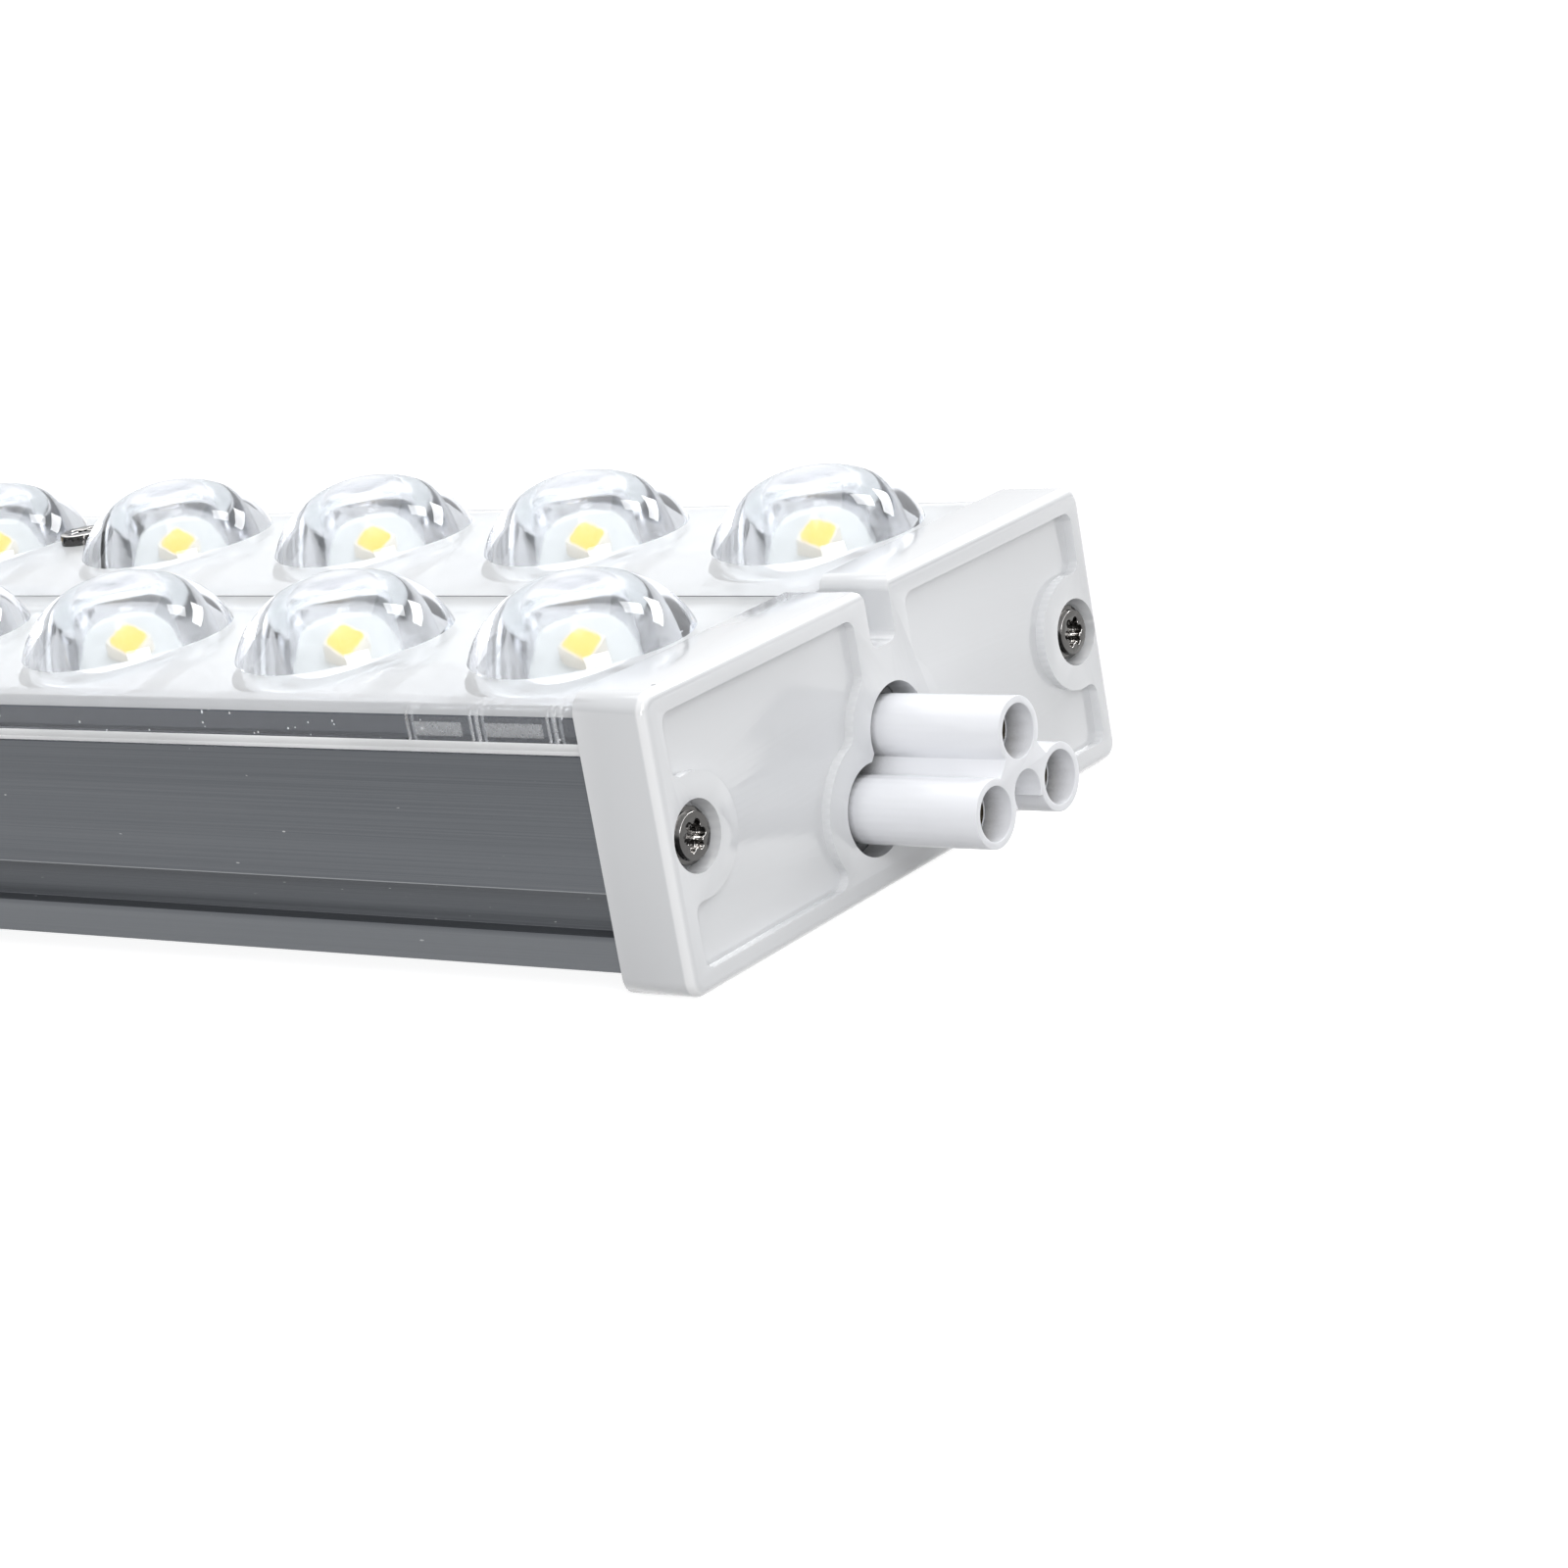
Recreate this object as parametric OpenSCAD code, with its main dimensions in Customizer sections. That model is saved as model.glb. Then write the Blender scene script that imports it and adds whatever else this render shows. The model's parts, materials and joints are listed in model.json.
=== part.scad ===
// Linkable light bar: an aluminium extrusion with two rows of clear dome lenses,
// moulded end caps, a three-pole socket nose at one end and a recessed three-pin inlet at the other.
// +X runs towards the socket nose, +Z is the light-emitting side, and z = 0 is the underside of the caps.

/* [Lens rows] */
// Lenses in each of the two rows
lens_count = 12; // [12:1:24]
// Distance from one lens to the next along a row
lens_pitch = 25; // [24:0.5:30]
// Distance of a row from the centre line
lens_row_y = 15.85; // [15:0.05:16.5]
// Distance of the first lens from the outer face of an end cap
lens_first = 16.85; // [16:0.05:22]
// Radius of a lens dome at its foot
dome_r = 9.1; // [8:0.1:9.8]
// Height of a lens dome above the plate
dome_h = 6.5; // [5:0.05:7]
// Height of the short upright foot of a lens dome
dome_foot = 0.75; // [0.2:0.05:1]
// Radius of the hollow over each LED
cavity_r = 5; // [3:0.1:5.2]
// Depth of the hollow over each LED, from the underside of the plate
cavity_h = 6.6; // [2:0.1:6.8]

/* [End caps] */
// Width of an end cap, across the light bar
cap_w = 60; // [60:0.5:64]
// Height of an end cap
cap_h = 23.7; // [23.5:0.1:25]
// Thickness of an end cap
cap_t = 6.7; // [6:0.1:9]
// Depth of the shallow pockets in the outer face
pocket_d = 0.8; // [0.2:0.05:1]
// Width of the slot in the top edge
slot_w = 3.3; // [2:0.1:4]
// Depth of the slot in the top edge
slot_d = 5; // [3:0.1:6]

/* [Extrusion] */
// Height of the extrusion's underside above the caps' underside
rail_lift = 1.86; // [1.6:0.02:2.4]
// Height of the clear strips' lower edge, where the side of the extrusion ends
rail_top = 18.8; // [18.6:0.1:19]
// How far the extrusion's side stands in from the side of the cap
rail_inset = 0.4; // [0.2:0.1:0.8]
// Wall thickness of the extrusion
rail_wall = 1.5; // [1.2:0.1:1.8]
// Height of the clip groove's ledge
groove_z = 4.68; // [4.4:0.02:5]
// Height of the clip groove
groove_h = 3.46; // [3:0.02:3.6]
// Depth of the clip groove
groove_d = 1.4; // [1.2:0.1:1.6]

/* [Connectors] */
// Length of the socket nose outside the cap
nose_l = 11.3; // [9:0.1:12]
// Outer radius of each of the three socket tubes
tube_r = 2.75; // [2.6:0.05:2.9]
// Radius of the mouth of each socket tube
mouth_r = 2.15; // [1.9:0.05:2.3]
// Radius of an inlet pin
pin_r = 1; // [0.8:0.05:1.1]
// Gap around each socket tube in the cap's opening
opening_gap = 1; // [0.5:0.05:1.1]

/* [Screws] */
// Distance of an end screw from the centre line
screw_y = 26.37; // [26:0.01:26.6]
// Shank radius of an end screw
screw_r = 1.3; // [1.2:0.05:1.4]
// Head radius of an end screw
head_r = 2.25; // [2:0.05:2.4]

/* [Mounting clips] */
// Place of the first clip along the bar at rest
clip_a_x = 0; // [-20:1:20]
// Place of the second clip along the bar at rest
clip_b_x = -110; // [-120:1:-70]
// Length of a clip along the bar
clip_l = 15; // [10:1:20]
// Spring steel thickness of a clip
clip_t = 0.9; // [0.7:0.1:1]
// Distance between the two screw holes of a clip
clip_hole_span = 32; // [20:1:40]
// Radius of a clip's screw holes
clip_hole_r = 2.2; // [1.8:0.1:2.5]

/* [Hidden] */
$fn = 64;
e = 0.01;
air = 0.1;

body_l = 2 * lens_first + (lens_count - 1) * lens_pitch;
outlet_x = (body_l - nose_l) / 2;
inlet_x = outlet_x - body_l;
mid_x = (outlet_x + inlet_x) / 2;
rail_l = body_l - 2 * cap_t;
lens_x0 = outlet_x - lens_first;

rail_y = cap_w / 2 - rail_inset;
deck_z = rail_top - 1.8;
floor_z = rail_lift + rail_wall;
groove_r = (groove_h * groove_h + groove_d * groove_d) / (2 * groove_d);
upstand_y = rail_y - 1.2 - air;
upstand_z = 21.9;
upstand_t = 1.1;
screw_z = 11.88;
boss_r = 3;
screw_fit = 0.05;
screw_clearance = 0.2;

plate_z0 = 20.9;
plate_z1 = 22.6;
skirt_t = 1.2;
cavity_round = 2.2;
pad_t = 0.3;
board_t = 1.5;
board_y0 = 0.6;
board_w = upstand_y - upstand_t - air - board_y0 - 0.2;
board_z = rail_top + pad_t;
led_z = board_z + board_t;
led_w = 3;
led_h = 0.7;
phosphor_w = 2.7;
well_d = 0.4;
fix_x = lens_x0 - 3.5 * lens_pitch;
fix_step = 4 * lens_pitch;
fix_count = max(1, floor((lens_count - 4) / 4));
fix_r = 1.25;

lobe_top = [0, 11.86];
lobe_side = [4.59, 6.66];
lobes = [lobe_top, lobe_side, [-lobe_side[0], lobe_side[1]]];
nose_web = 1.2;
arch_r = 1.8;
arch_z = 6.9;
opening_web = 4.2;
recess_gap = 0.35;
contact_r = 1.75;
contact_fit = 0.05;
contact_bore = pin_r + contact_fit;
face_t = 2.4;
seat_x = -face_t - air;
flange_t = cap_t - face_t - 2 * air;
back_x = -16;

counterbore_r = 2.8;
head_h = 1.7;
head_sink = 0.25;

drive_z = 7.1;
drive_t = 1.6;
drive_l = min(200, rail_l - 60);
drive_w = 46;

socket_depth = 2.6;
contact_sink = 2.4;
contact_l = 9;
recess_x = -nose_l - 1;
pin_tip_x = -3.5;
pin_taper = 0.5;
shoulder_r = pin_r + 0.25;
wire_r = 0.9;
lane_z = 15;
outer_lane_y = 19;
earth_lane_y = 14.5;
lead_x = mid_x - drive_l / 2 - 12;
earth_x = mid_x + drive_l / 2 + 12;
earth_r = 1.4;

// ---- Helpers ----

// Extrudes a cross-section, drawn with y across and z up, along +X.
module along_x(x0, x1) {
    translate([x0, 0, 0]) rotate([90, 0, 90]) linear_extrude(height = x1 - x0) children();
}

// The cross-section and its mirror image across the centre line.
module both_sides() {
    children();
    mirror([1, 0]) children();
}

// Moves a piece drawn with the cap's outer face at x = 0 and the outside at +x to the outlet end.
module at_outlet() {
    translate([outlet_x, 0, 0]) children();
}

// The same for the inlet end, turned to face -x.
module at_inlet() {
    translate([inlet_x, 0, 0]) mirror([1, 0, 0]) children();
}

// A cylinder along +X.
module rod(x0, x1, r) {
    translate([x0, 0, 0]) rotate([0, 90, 0]) cylinder(h = x1 - x0, r = r);
}

// A rectangle with round corners.
module round_rect(y0, z0, y1, z1, r) {
    translate([y0 + r, z0]) square([y1 - y0 - 2 * r, z1 - z0]);
    translate([y0, z0 + r]) square([y1 - y0, z1 - z0 - 2 * r]);
    for (y = [y0 + r, y1 - r], z = [z0 + r, z1 - r]) translate([y, z]) circle(r);
}

// A cable through the given points.
module cable(points, r) {
    for (i = [0 : len(points) - 2]) {
        hull() {
            translate(points[i]) sphere(r, $fn = 12);
            translate(points[i + 1]) sphere(r, $fn = 12);
        }
    }
}

// ---- Aluminium extrusion ----

module rail_half() {
    slit = 1;
    difference() {
        union() {
            translate([0, rail_lift]) square([rail_y, rail_wall]);
            translate([rail_y - rail_wall, rail_lift]) square([rail_wall, rail_top - rail_lift]);
            translate([rail_y - groove_d - rail_wall, rail_lift])
                square([rail_wall + e, groove_z + groove_h]);
            translate([0, deck_z]) square([rail_y, rail_top - deck_z]);
            translate([upstand_y - upstand_t, deck_z]) square([upstand_t, upstand_z - deck_z]);
            translate([screw_y, screw_z]) circle(boss_r);
            board_guides();
        }
        clip_groove();
        translate([screw_y, screw_z]) circle(screw_r + screw_fit);
        translate([screw_y - boss_r - 1, screw_z - slit / 2]) square([boss_r + 1, slit]);
    }
}

// Two ribs that hold the edge of the driver board between them.
module board_guides() {
    rib = 1;
    gap = 0.15;
    guide_y = drive_w / 2 - rib;
    for (z = [drive_z - drive_t - gap - rib, drive_z + gap]) {
        translate([guide_y, z]) square([rail_y - rail_wall - guide_y, rib]);
    }
}

// A groove that curves in from the side and ends at a flat ledge, which the mounting clips grip.
module clip_groove() {
    intersection() {
        translate([rail_y - groove_d + groove_r, groove_z]) circle(groove_r, $fn = 96);
        translate([rail_y - groove_d - 1, groove_z]) square([groove_r, groove_h]);
    }
}

module body_extrusion() {
    color("slategray") difference() {
        along_x(inlet_x + cap_t, outlet_x - cap_t) both_sides() rail_half();
        lead_hole();
        for (x = fix_places(), side = [-1, 1]) {
            translate([x, side * lens_row_y, deck_z - 1]) cylinder(h = 4, r = fix_r + screw_fit);
        }
        translate([earth_x, 0, 0]) cylinder(h = floor_z + 1, r = earth_r + screw_fit);
    }
}

// The hole in the deck and the boards that the LED leads come up through.
module lead_hole() {
    translate([lead_x, 0, deck_z - 1]) cylinder(h = led_z - deck_z + 2, r = 3);
}

// ---- End caps ----

// The cap's outer form, with rounded corners and a softened outer edge.
module cap_form() {
    soft = 0.9;
    corner = 1.6;
    hull() {
        for (y = [-1, 1], z = [0, 1]) {
            translate([0, y * (cap_w / 2 - corner), z * (cap_h - 2 * corner) + corner]) {
                rod(-cap_t, -soft, corner, $fn = 32);
                translate([-soft, 0, 0]) rotate([0, 90, 0]) rotate_extrude($fn = 32)
                    intersection() {
                        translate([corner - soft, 0]) circle(soft, $fn = 32);
                        square([corner, soft]);
                    }
            }
        }
    }
}

// A clover of three round lobes at the socket tubes, joined by straight webs and filled in the middle.
module clover(r, web) {
    for (lobe = lobes) translate(lobe) circle(r);
    polygon(lobes);
    for (side = [-1, 1]) {
        reach = [side * lobe_side[0], lobe_side[1] - lobe_top[1]];
        translate(lobe_top) rotate(atan2(reach[1], reach[0]))
            translate([0, -web / 2]) square([norm(reach), web]);
    }
    translate([-lobe_side[0], lobe_side[1] - web / 2]) square([2 * lobe_side[0], web]);
}

// A pocket's outline: a rectangle that gives way around the end screw and around the opening.
module pocket_outline() {
    blend = 1;
    inner_y = 3.55;
    border = 1.9;
    screw_clear = 4.85;
    opening_clear = 6.05;
    offset(r = blend, $fn = 48) offset(delta = -blend) offset(r = -blend, $fn = 48) offset(delta = blend)
        difference() {
            translate([inner_y, border]) square([cap_w / 2 - border - inner_y, cap_h - 2 * border]);
            translate([screw_y, screw_z]) circle(screw_clear, $fn = 96);
            for (lobe = lobes) translate(lobe) circle(opening_clear, $fn = 96);
        }
}

// The slot in the middle of the cap's top edge, with round shoulders.
module slot_outline() {
    shoulder = 1.2;
    root = 0.9;
    round_rect(-slot_w / 2, cap_h - slot_d, slot_w / 2, cap_h + 2, root);
    both_sides() difference() {
        translate([slot_w / 2 - e, cap_h - shoulder]) square([shoulder + e, shoulder + 1]);
        translate([slot_w / 2 + shoulder, cap_h - shoulder]) circle(shoulder);
    }
}

// The hollow in the cap's back, which leaves the rim, the screw bosses and the middle web.
module cap_hollow() {
    rim = 1.8;
    corner = 0.8;
    screw_boss = 3.9;
    web = 1.5;
    difference() {
        along_x(-cap_t - 1, -face_t) round_rect(-cap_w / 2 + rim, rim, cap_w / 2 - rim, cap_h - rim, corner);
        for (y = [-screw_y, screw_y]) translate([0, y, screw_z]) rod(-cap_t - 2, 0, screw_boss);
        along_x(-cap_t - 2, 0) translate([-slot_w / 2 - web, cap_h - slot_d - web])
            square([slot_w + 2 * web, slot_d + web + 1]);
    }
}

// Tongues that locate the cap between the floor and the deck of the extrusion.
module cap_tongues() {
    tongue_l = 3.5;
    tongue_w = 6;
    tongue_t = 1.2;
    tongue_y = 15;
    for (y = [-tongue_y, tongue_y], z = [floor_z + air, deck_z - tongue_t - air]) {
        translate([-cap_t - tongue_l, y - tongue_w / 2, z])
            cube([cap_t - face_t + tongue_l + e, tongue_w, tongue_t]);
    }
}

module end_cap() {
    difference() {
        union() {
            difference() {
                cap_form();
                cap_hollow();
            }
            cap_tongues();
        }
        along_x(-pocket_d, 1) both_sides() pocket_outline();
        along_x(-cap_t - 1, 1) slot_outline();
        along_x(-face_t - 1, 1) clover(tube_r + opening_gap, opening_web);
        for (y = [-screw_y, screw_y]) translate([0, y, screw_z]) {
            rod(-cap_t - 1, 1, screw_r + screw_clearance);
            rod(-head_h - head_sink, 1, counterbore_r);
        }
    }
}

module end_cap_outlet() {
    color("whitesmoke") at_outlet() end_cap();
}

module end_cap_inlet() {
    color("whitesmoke") at_inlet() end_cap();
}

// ---- Lens strips ----

function lens_places() = [for (i = [0 : lens_count - 1]) lens_x0 - i * lens_pitch];
function fix_places() = [for (i = [0 : fix_count - 1]) fix_x - i * fix_step];

module lens_strip() {
    x0 = inlet_x + cap_t + air;
    x1 = outlet_x - cap_t - air;
    difference() {
        union() {
            along_x(x0, x1) strip_outline();
            for (x = lens_places()) translate([x, lens_row_y, 0]) dome();
        }
        for (x = lens_places()) translate([x, lens_row_y, plate_z0]) cavity();
        fixing_holes(plate_z0);
    }
}

// A dome: the cap of a sphere on a short upright foot.
module dome() {
    cap_height = dome_h - dome_foot;
    ball_r = (dome_r * dome_r + cap_height * cap_height) / (2 * cap_height);
    intersection() {
        translate([0, 0, plate_z1 + dome_h - ball_r]) sphere(ball_r);
        translate([0, 0, plate_z0 + 0.5]) cylinder(h = 12, r = dome_r);
    }
}

// The steep-walled hollow over an LED, flat at the top with a rounded edge.
module cavity() {
    rotate_extrude() intersection() {
        round_rect(-cavity_r, -cavity_h, cavity_r, cavity_h, cavity_round);
        translate([0, -1]) square([cavity_r, cavity_h + 1]);
    }
}

// Holes for the lens fixing screws, through what lies above the height z.
module fixing_holes(z) {
    for (x = fix_places()) translate([x, lens_row_y, z - 1]) cylinder(h = 4, r = fix_r + screw_clearance);
}

// The strip's plate, with a groove for the extrusion's upstand and a skirt outside it.
module strip_outline() {
    edge = 1;
    difference() {
        union() {
            translate([air, plate_z0]) square([rail_y - air - edge, plate_z1 - plate_z0]);
            translate([rail_y - skirt_t, rail_top + air]) square([skirt_t, plate_z1 - edge - rail_top - air]);
            translate([rail_y - edge, plate_z1 - edge]) circle(edge);
        }
        translate([upstand_y - upstand_t - air, plate_z0 - 1])
            square([upstand_t + 2 * air, upstand_z + air - plate_z0 + 1]);
    }
}

module lens_strip_far() {
    color("aliceblue", 0.5) lens_strip();
}

module lens_strip_near() {
    color("aliceblue", 0.5) mirror([0, 1, 0]) lens_strip();
}

// ---- LED boards ----

module led_board() {
    difference() {
        translate([inlet_x + cap_t + 1, board_y0, board_z]) cube([rail_l - 2, board_w, board_t]);
        fixing_holes(board_z);
        lead_hole();
    }
}

module led_board_far() {
    color("white") led_board();
}

module led_board_near() {
    color("white") mirror([0, 1, 0]) led_board();
}

module thermal_pad() {
    difference() {
        translate([inlet_x + cap_t + 2, board_y0 + 1, rail_top]) cube([rail_l - 4, board_w - 2, pad_t]);
        fixing_holes(board_z);
        lead_hole();
    }
}

module thermal_pad_far() {
    color("lightgray") thermal_pad();
}

module thermal_pad_near() {
    color("lightgray") mirror([0, 1, 0]) thermal_pad();
}

// One square white package per lens, with a well for the phosphor.
module led_packages() {
    for (x = lens_places()) translate([x, lens_row_y, led_z]) difference() {
        translate([-led_w / 2, -led_w / 2, 0]) cube([led_w, led_w, led_h]);
        translate([0, 0, led_h - well_d]) linear_extrude(1) phosphor_outline(phosphor_w);
    }
}

// The round-cornered square of a phosphor, w wide.
module phosphor_outline(w) {
    corner = 0.5;
    round_rect(-w / 2, -w / 2, w / 2, w / 2, corner);
}

module led_packages_far() {
    color("ivory") led_packages();
}

module led_packages_near() {
    color("ivory") mirror([0, 1, 0]) led_packages();
}

module led_phosphors() {
    for (x = lens_places()) translate([x, lens_row_y, led_z + led_h - well_d + e])
        linear_extrude(well_d - e) phosphor_outline(phosphor_w - 2 * e);
}

module led_phosphors_far() {
    color("gold") led_phosphors();
}

module led_phosphors_near() {
    color("gold") mirror([0, 1, 0]) led_phosphors();
}

// Flat-headed screws with a cross recess, which hold each strip and its board down on the deck.
module lens_fixing_screws() {
    fix_head_r = 2.2;
    fix_head_h = 1.9;
    color("silver") for (x = fix_places(), side = [-1, 1]) translate([x, side * lens_row_y, 0]) {
        translate([0, 0, deck_z + 0.2]) cylinder(h = plate_z1 - deck_z, r = fix_r);
        translate([0, 0, plate_z1]) difference() {
            cylinder(h = fix_head_h, r = fix_head_r);
            translate([0, 0, fix_head_h - 0.8]) cross_recess(2.6, 0.5);
        }
    }
}

// Two crossed slots of the given length and width.
module cross_recess(slot_l, slot_width) {
    for (a = [0, 90]) rotate([0, 0, a]) {
        translate([-slot_l / 2, -slot_width / 2, 0]) cube([slot_l, slot_width, 1]);
    }
}

// A short flat link that joins the two LED boards across the middle.
module board_link() {
    link_l = 8;
    link_w = 6;
    color("khaki") translate([mid_x - link_l / 2, -link_w / 2, led_z + 0.02]) cube([link_l, link_w, 0.2]);
}

// ---- Outlet socket ----

// Three tubes joined by webs, with an open arch between the two lower tubes.
module nose_outline() {
    difference() {
        clover(tube_r, nose_web);
        translate([0, arch_z]) circle(arch_r);
    }
}

module outlet_connector_body() {
    color("white") at_outlet() difference() {
        union() {
            along_x(seat_x - flange_t, nose_l) nose_outline();
            along_x(seat_x - flange_t, seat_x) flange_outline();
            along_x(back_x, seat_x - flange_t + e) clover(tube_r, nose_web);
        }
        for (lobe = lobes) translate([0, lobe[0], lobe[1]]) {
            rod(nose_l - socket_depth, nose_l + 1, mouth_r);
            rod(back_x - 1, nose_l, contact_r + contact_fit);
        }
    }
}

// The flange that each connector holds behind the face of its cap.
module flange_outline() {
    half_w = 9;
    low_z = 2.2;
    high_z = 16.6;
    corner = 1.5;
    round_rect(-half_w, low_z, half_w, high_z, corner);
}

// Brass sleeves that take the pins of the next light bar.
module outlet_contacts() {
    color("goldenrod") at_outlet() for (lobe = lobes) translate([0, lobe[0], lobe[1]]) difference() {
        rod(back_x, nose_l - contact_sink, contact_r);
        rod(nose_l - contact_sink - contact_l, nose_l, contact_bore);
    }
}

// ---- Inlet ----

// A housing with a clover-shaped recess that takes the socket nose of the previous bar.
module inlet_connector_body() {
    half_w = 8.4;
    low_z = 3.5;
    high_z = 15.9;
    corner = 2;
    color("white") at_inlet() difference() {
        union() {
            along_x(seat_x - flange_t, seat_x) flange_outline();
            along_x(back_x, seat_x) round_rect(-half_w, low_z, half_w, high_z, corner);
        }
        along_x(recess_x, 0) clover(tube_r + recess_gap, nose_web + 2 * recess_gap);
        for (lobe = lobes) translate([0, lobe[0], lobe[1]]) rod(back_x - 1, 0, shoulder_r + 0.03);
    }
}

module inlet_pins() {
    color("silver") at_inlet() for (lobe = lobes) translate([0, lobe[0], lobe[1]]) {
        rod(back_x, recess_x - air, shoulder_r);
        rod(recess_x - air, pin_tip_x - pin_taper, pin_r);
        translate([pin_tip_x - pin_taper, 0, 0]) rotate([0, 90, 0])
            cylinder(h = pin_taper, r1 = pin_r, r2 = pin_r - 0.4);
    }
}

// ---- End screws ----

// Pan-head self-tapping screws with a six-lobed recess.
module end_screws() {
    shank_l = 10;
    crown = 0.6;
    crown_r = head_r - 0.4;
    drive_depth = 0.9;
    drive_r = 0.95;
    drive_lobe_r = 0.36;
    for (y = [-screw_y, screw_y]) translate([0, y, screw_z]) difference() {
        union() {
            rod(-cap_t - shank_l, -head_sink - 1, screw_r);
            rod(-head_h - head_sink, -head_sink - crown, head_r);
            rod(-head_sink - crown, -head_sink, crown_r);
        }
        for (a = [0 : 60 : 300]) rotate([a, 0, 0]) translate([0, drive_r, 0]) {
            rod(-head_sink - drive_depth, 1, drive_lobe_r);
        }
        rod(-head_sink - drive_depth, 1, drive_r);
    }
}

module end_screws_outlet() {
    color("silver") at_outlet() end_screws();
}

module end_screws_inlet() {
    color("silver") at_inlet() end_screws();
}

// ---- Driver ----

// Places a driver component, given by its low corner from the board's middle, on the board.
module on_driver(x, y) {
    translate([mid_x + x, y, drive_z]) children();
}

module driver_board() {
    color("darkgreen") translate([mid_x - drive_l / 2, -drive_w / 2, drive_z - drive_t])
        cube([drive_l, drive_w, drive_t]);
}

// A square wound transformer with a window in each side.
module driver_transformer() {
    side = 16;
    height = 9;
    window = [10, 3, 5];
    color("khaki") on_driver(-side / 2, -side / 2) difference() {
        cube([side, side, height]);
        for (y = [-1, side + 1 - window[1]]) translate([(side - window[0]) / 2, y, 2]) cube(window);
    }
}

// Two electrolytic capacitors lying on their sides, with their leads.
module driver_capacitors() {
    can_r = 4;
    can_l = 16;
    lead_l = 4;
    lead_r = 0.3;
    color("midnightblue") for (y = [-7, 7]) on_driver(30, y) translate([0, 0, can_r + 0.1]) {
        rod(0, can_l, can_r);
        for (lead_y = [-1, 1]) translate([0, lead_y, 1 - can_r]) rod(can_l, can_l + lead_l, lead_r);
    }
}

// A wire-wound choke on a flanged bobbin.
module driver_choke() {
    flange_r = 4.5;
    winding_r = 3.2;
    height = 8;
    color("sienna") on_driver(-34, 0) difference() {
        union() {
            cylinder(h = height, r = winding_r);
            for (z = [0, height - 1]) translate([0, 0, z]) cylinder(h = 1, r = flange_r);
        }
        translate([0, 0, -1]) cylinder(h = height + 2, r = 1);
    }
}

// A flat bridge rectifier with four tabs.
module driver_rectifier() {
    block = [6.5, 5, 2.4];
    tab = [1, 1.5, 0.6];
    color("dimgray") on_driver(-54, -3) {
        translate([0, 0, 0.2]) cube(block);
        for (x = [0.6, block[0] - 0.6 - tab[0]], y = [-1, block[1] + 1 - tab[1]]) {
            translate([x, y, 0]) cube(tab);
        }
    }
}

// A tubular fuse between two end ferrules.
module driver_fuse() {
    ferrule_l = 5;
    ferrule_r = 2.6;
    tube_l = 10;
    color("silver") on_driver(-72, 10) translate([0, 0, ferrule_r + 0.1]) {
        rod(0, ferrule_l, ferrule_r);
        rod(ferrule_l, ferrule_l + tube_l, ferrule_r - 0.3);
        rod(ferrule_l + tube_l, 2 * ferrule_l + tube_l, ferrule_r);
    }
}

// An eight-legged control chip.
module driver_switch_chip() {
    block = [5, 4, 1.4];
    leg = [0.4, 1.2, 0.4];
    leg_pitch = 1.25;
    color("black") on_driver(14, -14) {
        translate([0, 1, 0.2]) cube(block);
        for (i = [0 : 3], y = [0, block[1] + 2 - leg[1]]) {
            translate([0.4 + i * leg_pitch, y, 0]) cube(leg);
        }
    }
}

// The push-in terminals that take the mains wires and the LED leads.
module driver_terminals() {
    block = [8, 12, 7];
    color("seagreen") for (x = [-drive_l / 2 + 3, drive_l / 2 - 3 - block[0]]) {
        on_driver(x, -block[1] / 2) difference() {
            cube(block);
            for (y = [3, 9]) translate([block[0] / 2, y, block[2] / 2]) rod(-block[0], block[0], 1);
        }
    }
}

module insulator_sheet() {
    sheet_l = drive_l + 12;
    sheet_t = 0.3;
    color("lightyellow") translate([mid_x - sheet_l / 2, -drive_w / 2 + 1, floor_z + 0.05])
        cube([sheet_l, drive_w - 2, sheet_t]);
}

// ---- Wiring ----

// A mains wire from the inlet's lobe to the outlet's lobe, along a side of the chamber.
module through_wire(lobe, lane_y) {
    back_in = inlet_x - back_x + 1.1;
    back_out = outlet_x + back_x - 1.1;
    cable([
        [back_in, lobe[0], lobe[1]], [back_in + 6, lobe[0], lobe[1]], [back_in + 14, lane_y, lane_z],
        [back_out - 14, lane_y, lane_z], [back_out - 6, lobe[0], lobe[1]], [back_out, lobe[0], lobe[1]]
    ], wire_r);
}

module live_wire() {
    color("saddlebrown") through_wire(lobes[1], outer_lane_y);
}

module neutral_wire() {
    color("royalblue") through_wire(lobes[2], -outer_lane_y);
}

module earth_wire() {
    color("yellowgreen") {
        through_wire(lobe_top, earth_lane_y);
        cable([[earth_x, earth_lane_y, lane_z], [earth_x, 6, 7], [earth_x, 4.6, floor_z + 1.6]], 0.6);
    }
}

// The leads that carry direct current from the driver up through the deck.
module led_lead(side) {
    start_x = mid_x - drive_l / 2 + 1;
    terminal_z = drive_z + 3.5;
    cable([
        [start_x, side * 3, terminal_z], [lead_x, side * 1.4, terminal_z], [lead_x, side * 1.4, led_z - 0.6]
    ], 0.7);
}

module led_lead_positive() {
    color("crimson") led_lead(1);
}

module led_lead_negative() {
    color("black") led_lead(-1);
}

// A ring terminal with a crimp tongue, under the earth screw.
module earth_terminal_ring() {
    ring_t = 0.6;
    tongue_w = 2;
    color("silver") translate([earth_x, 0, floor_z + 0.05]) difference() {
        union() {
            cylinder(h = ring_t, r = 3);
            translate([-tongue_w / 2, 2, 0]) cube([tongue_w, 3.5, ring_t]);
        }
        translate([0, 0, -1]) cylinder(h = 3, r = earth_r + 0.1);
    }
}

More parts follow.
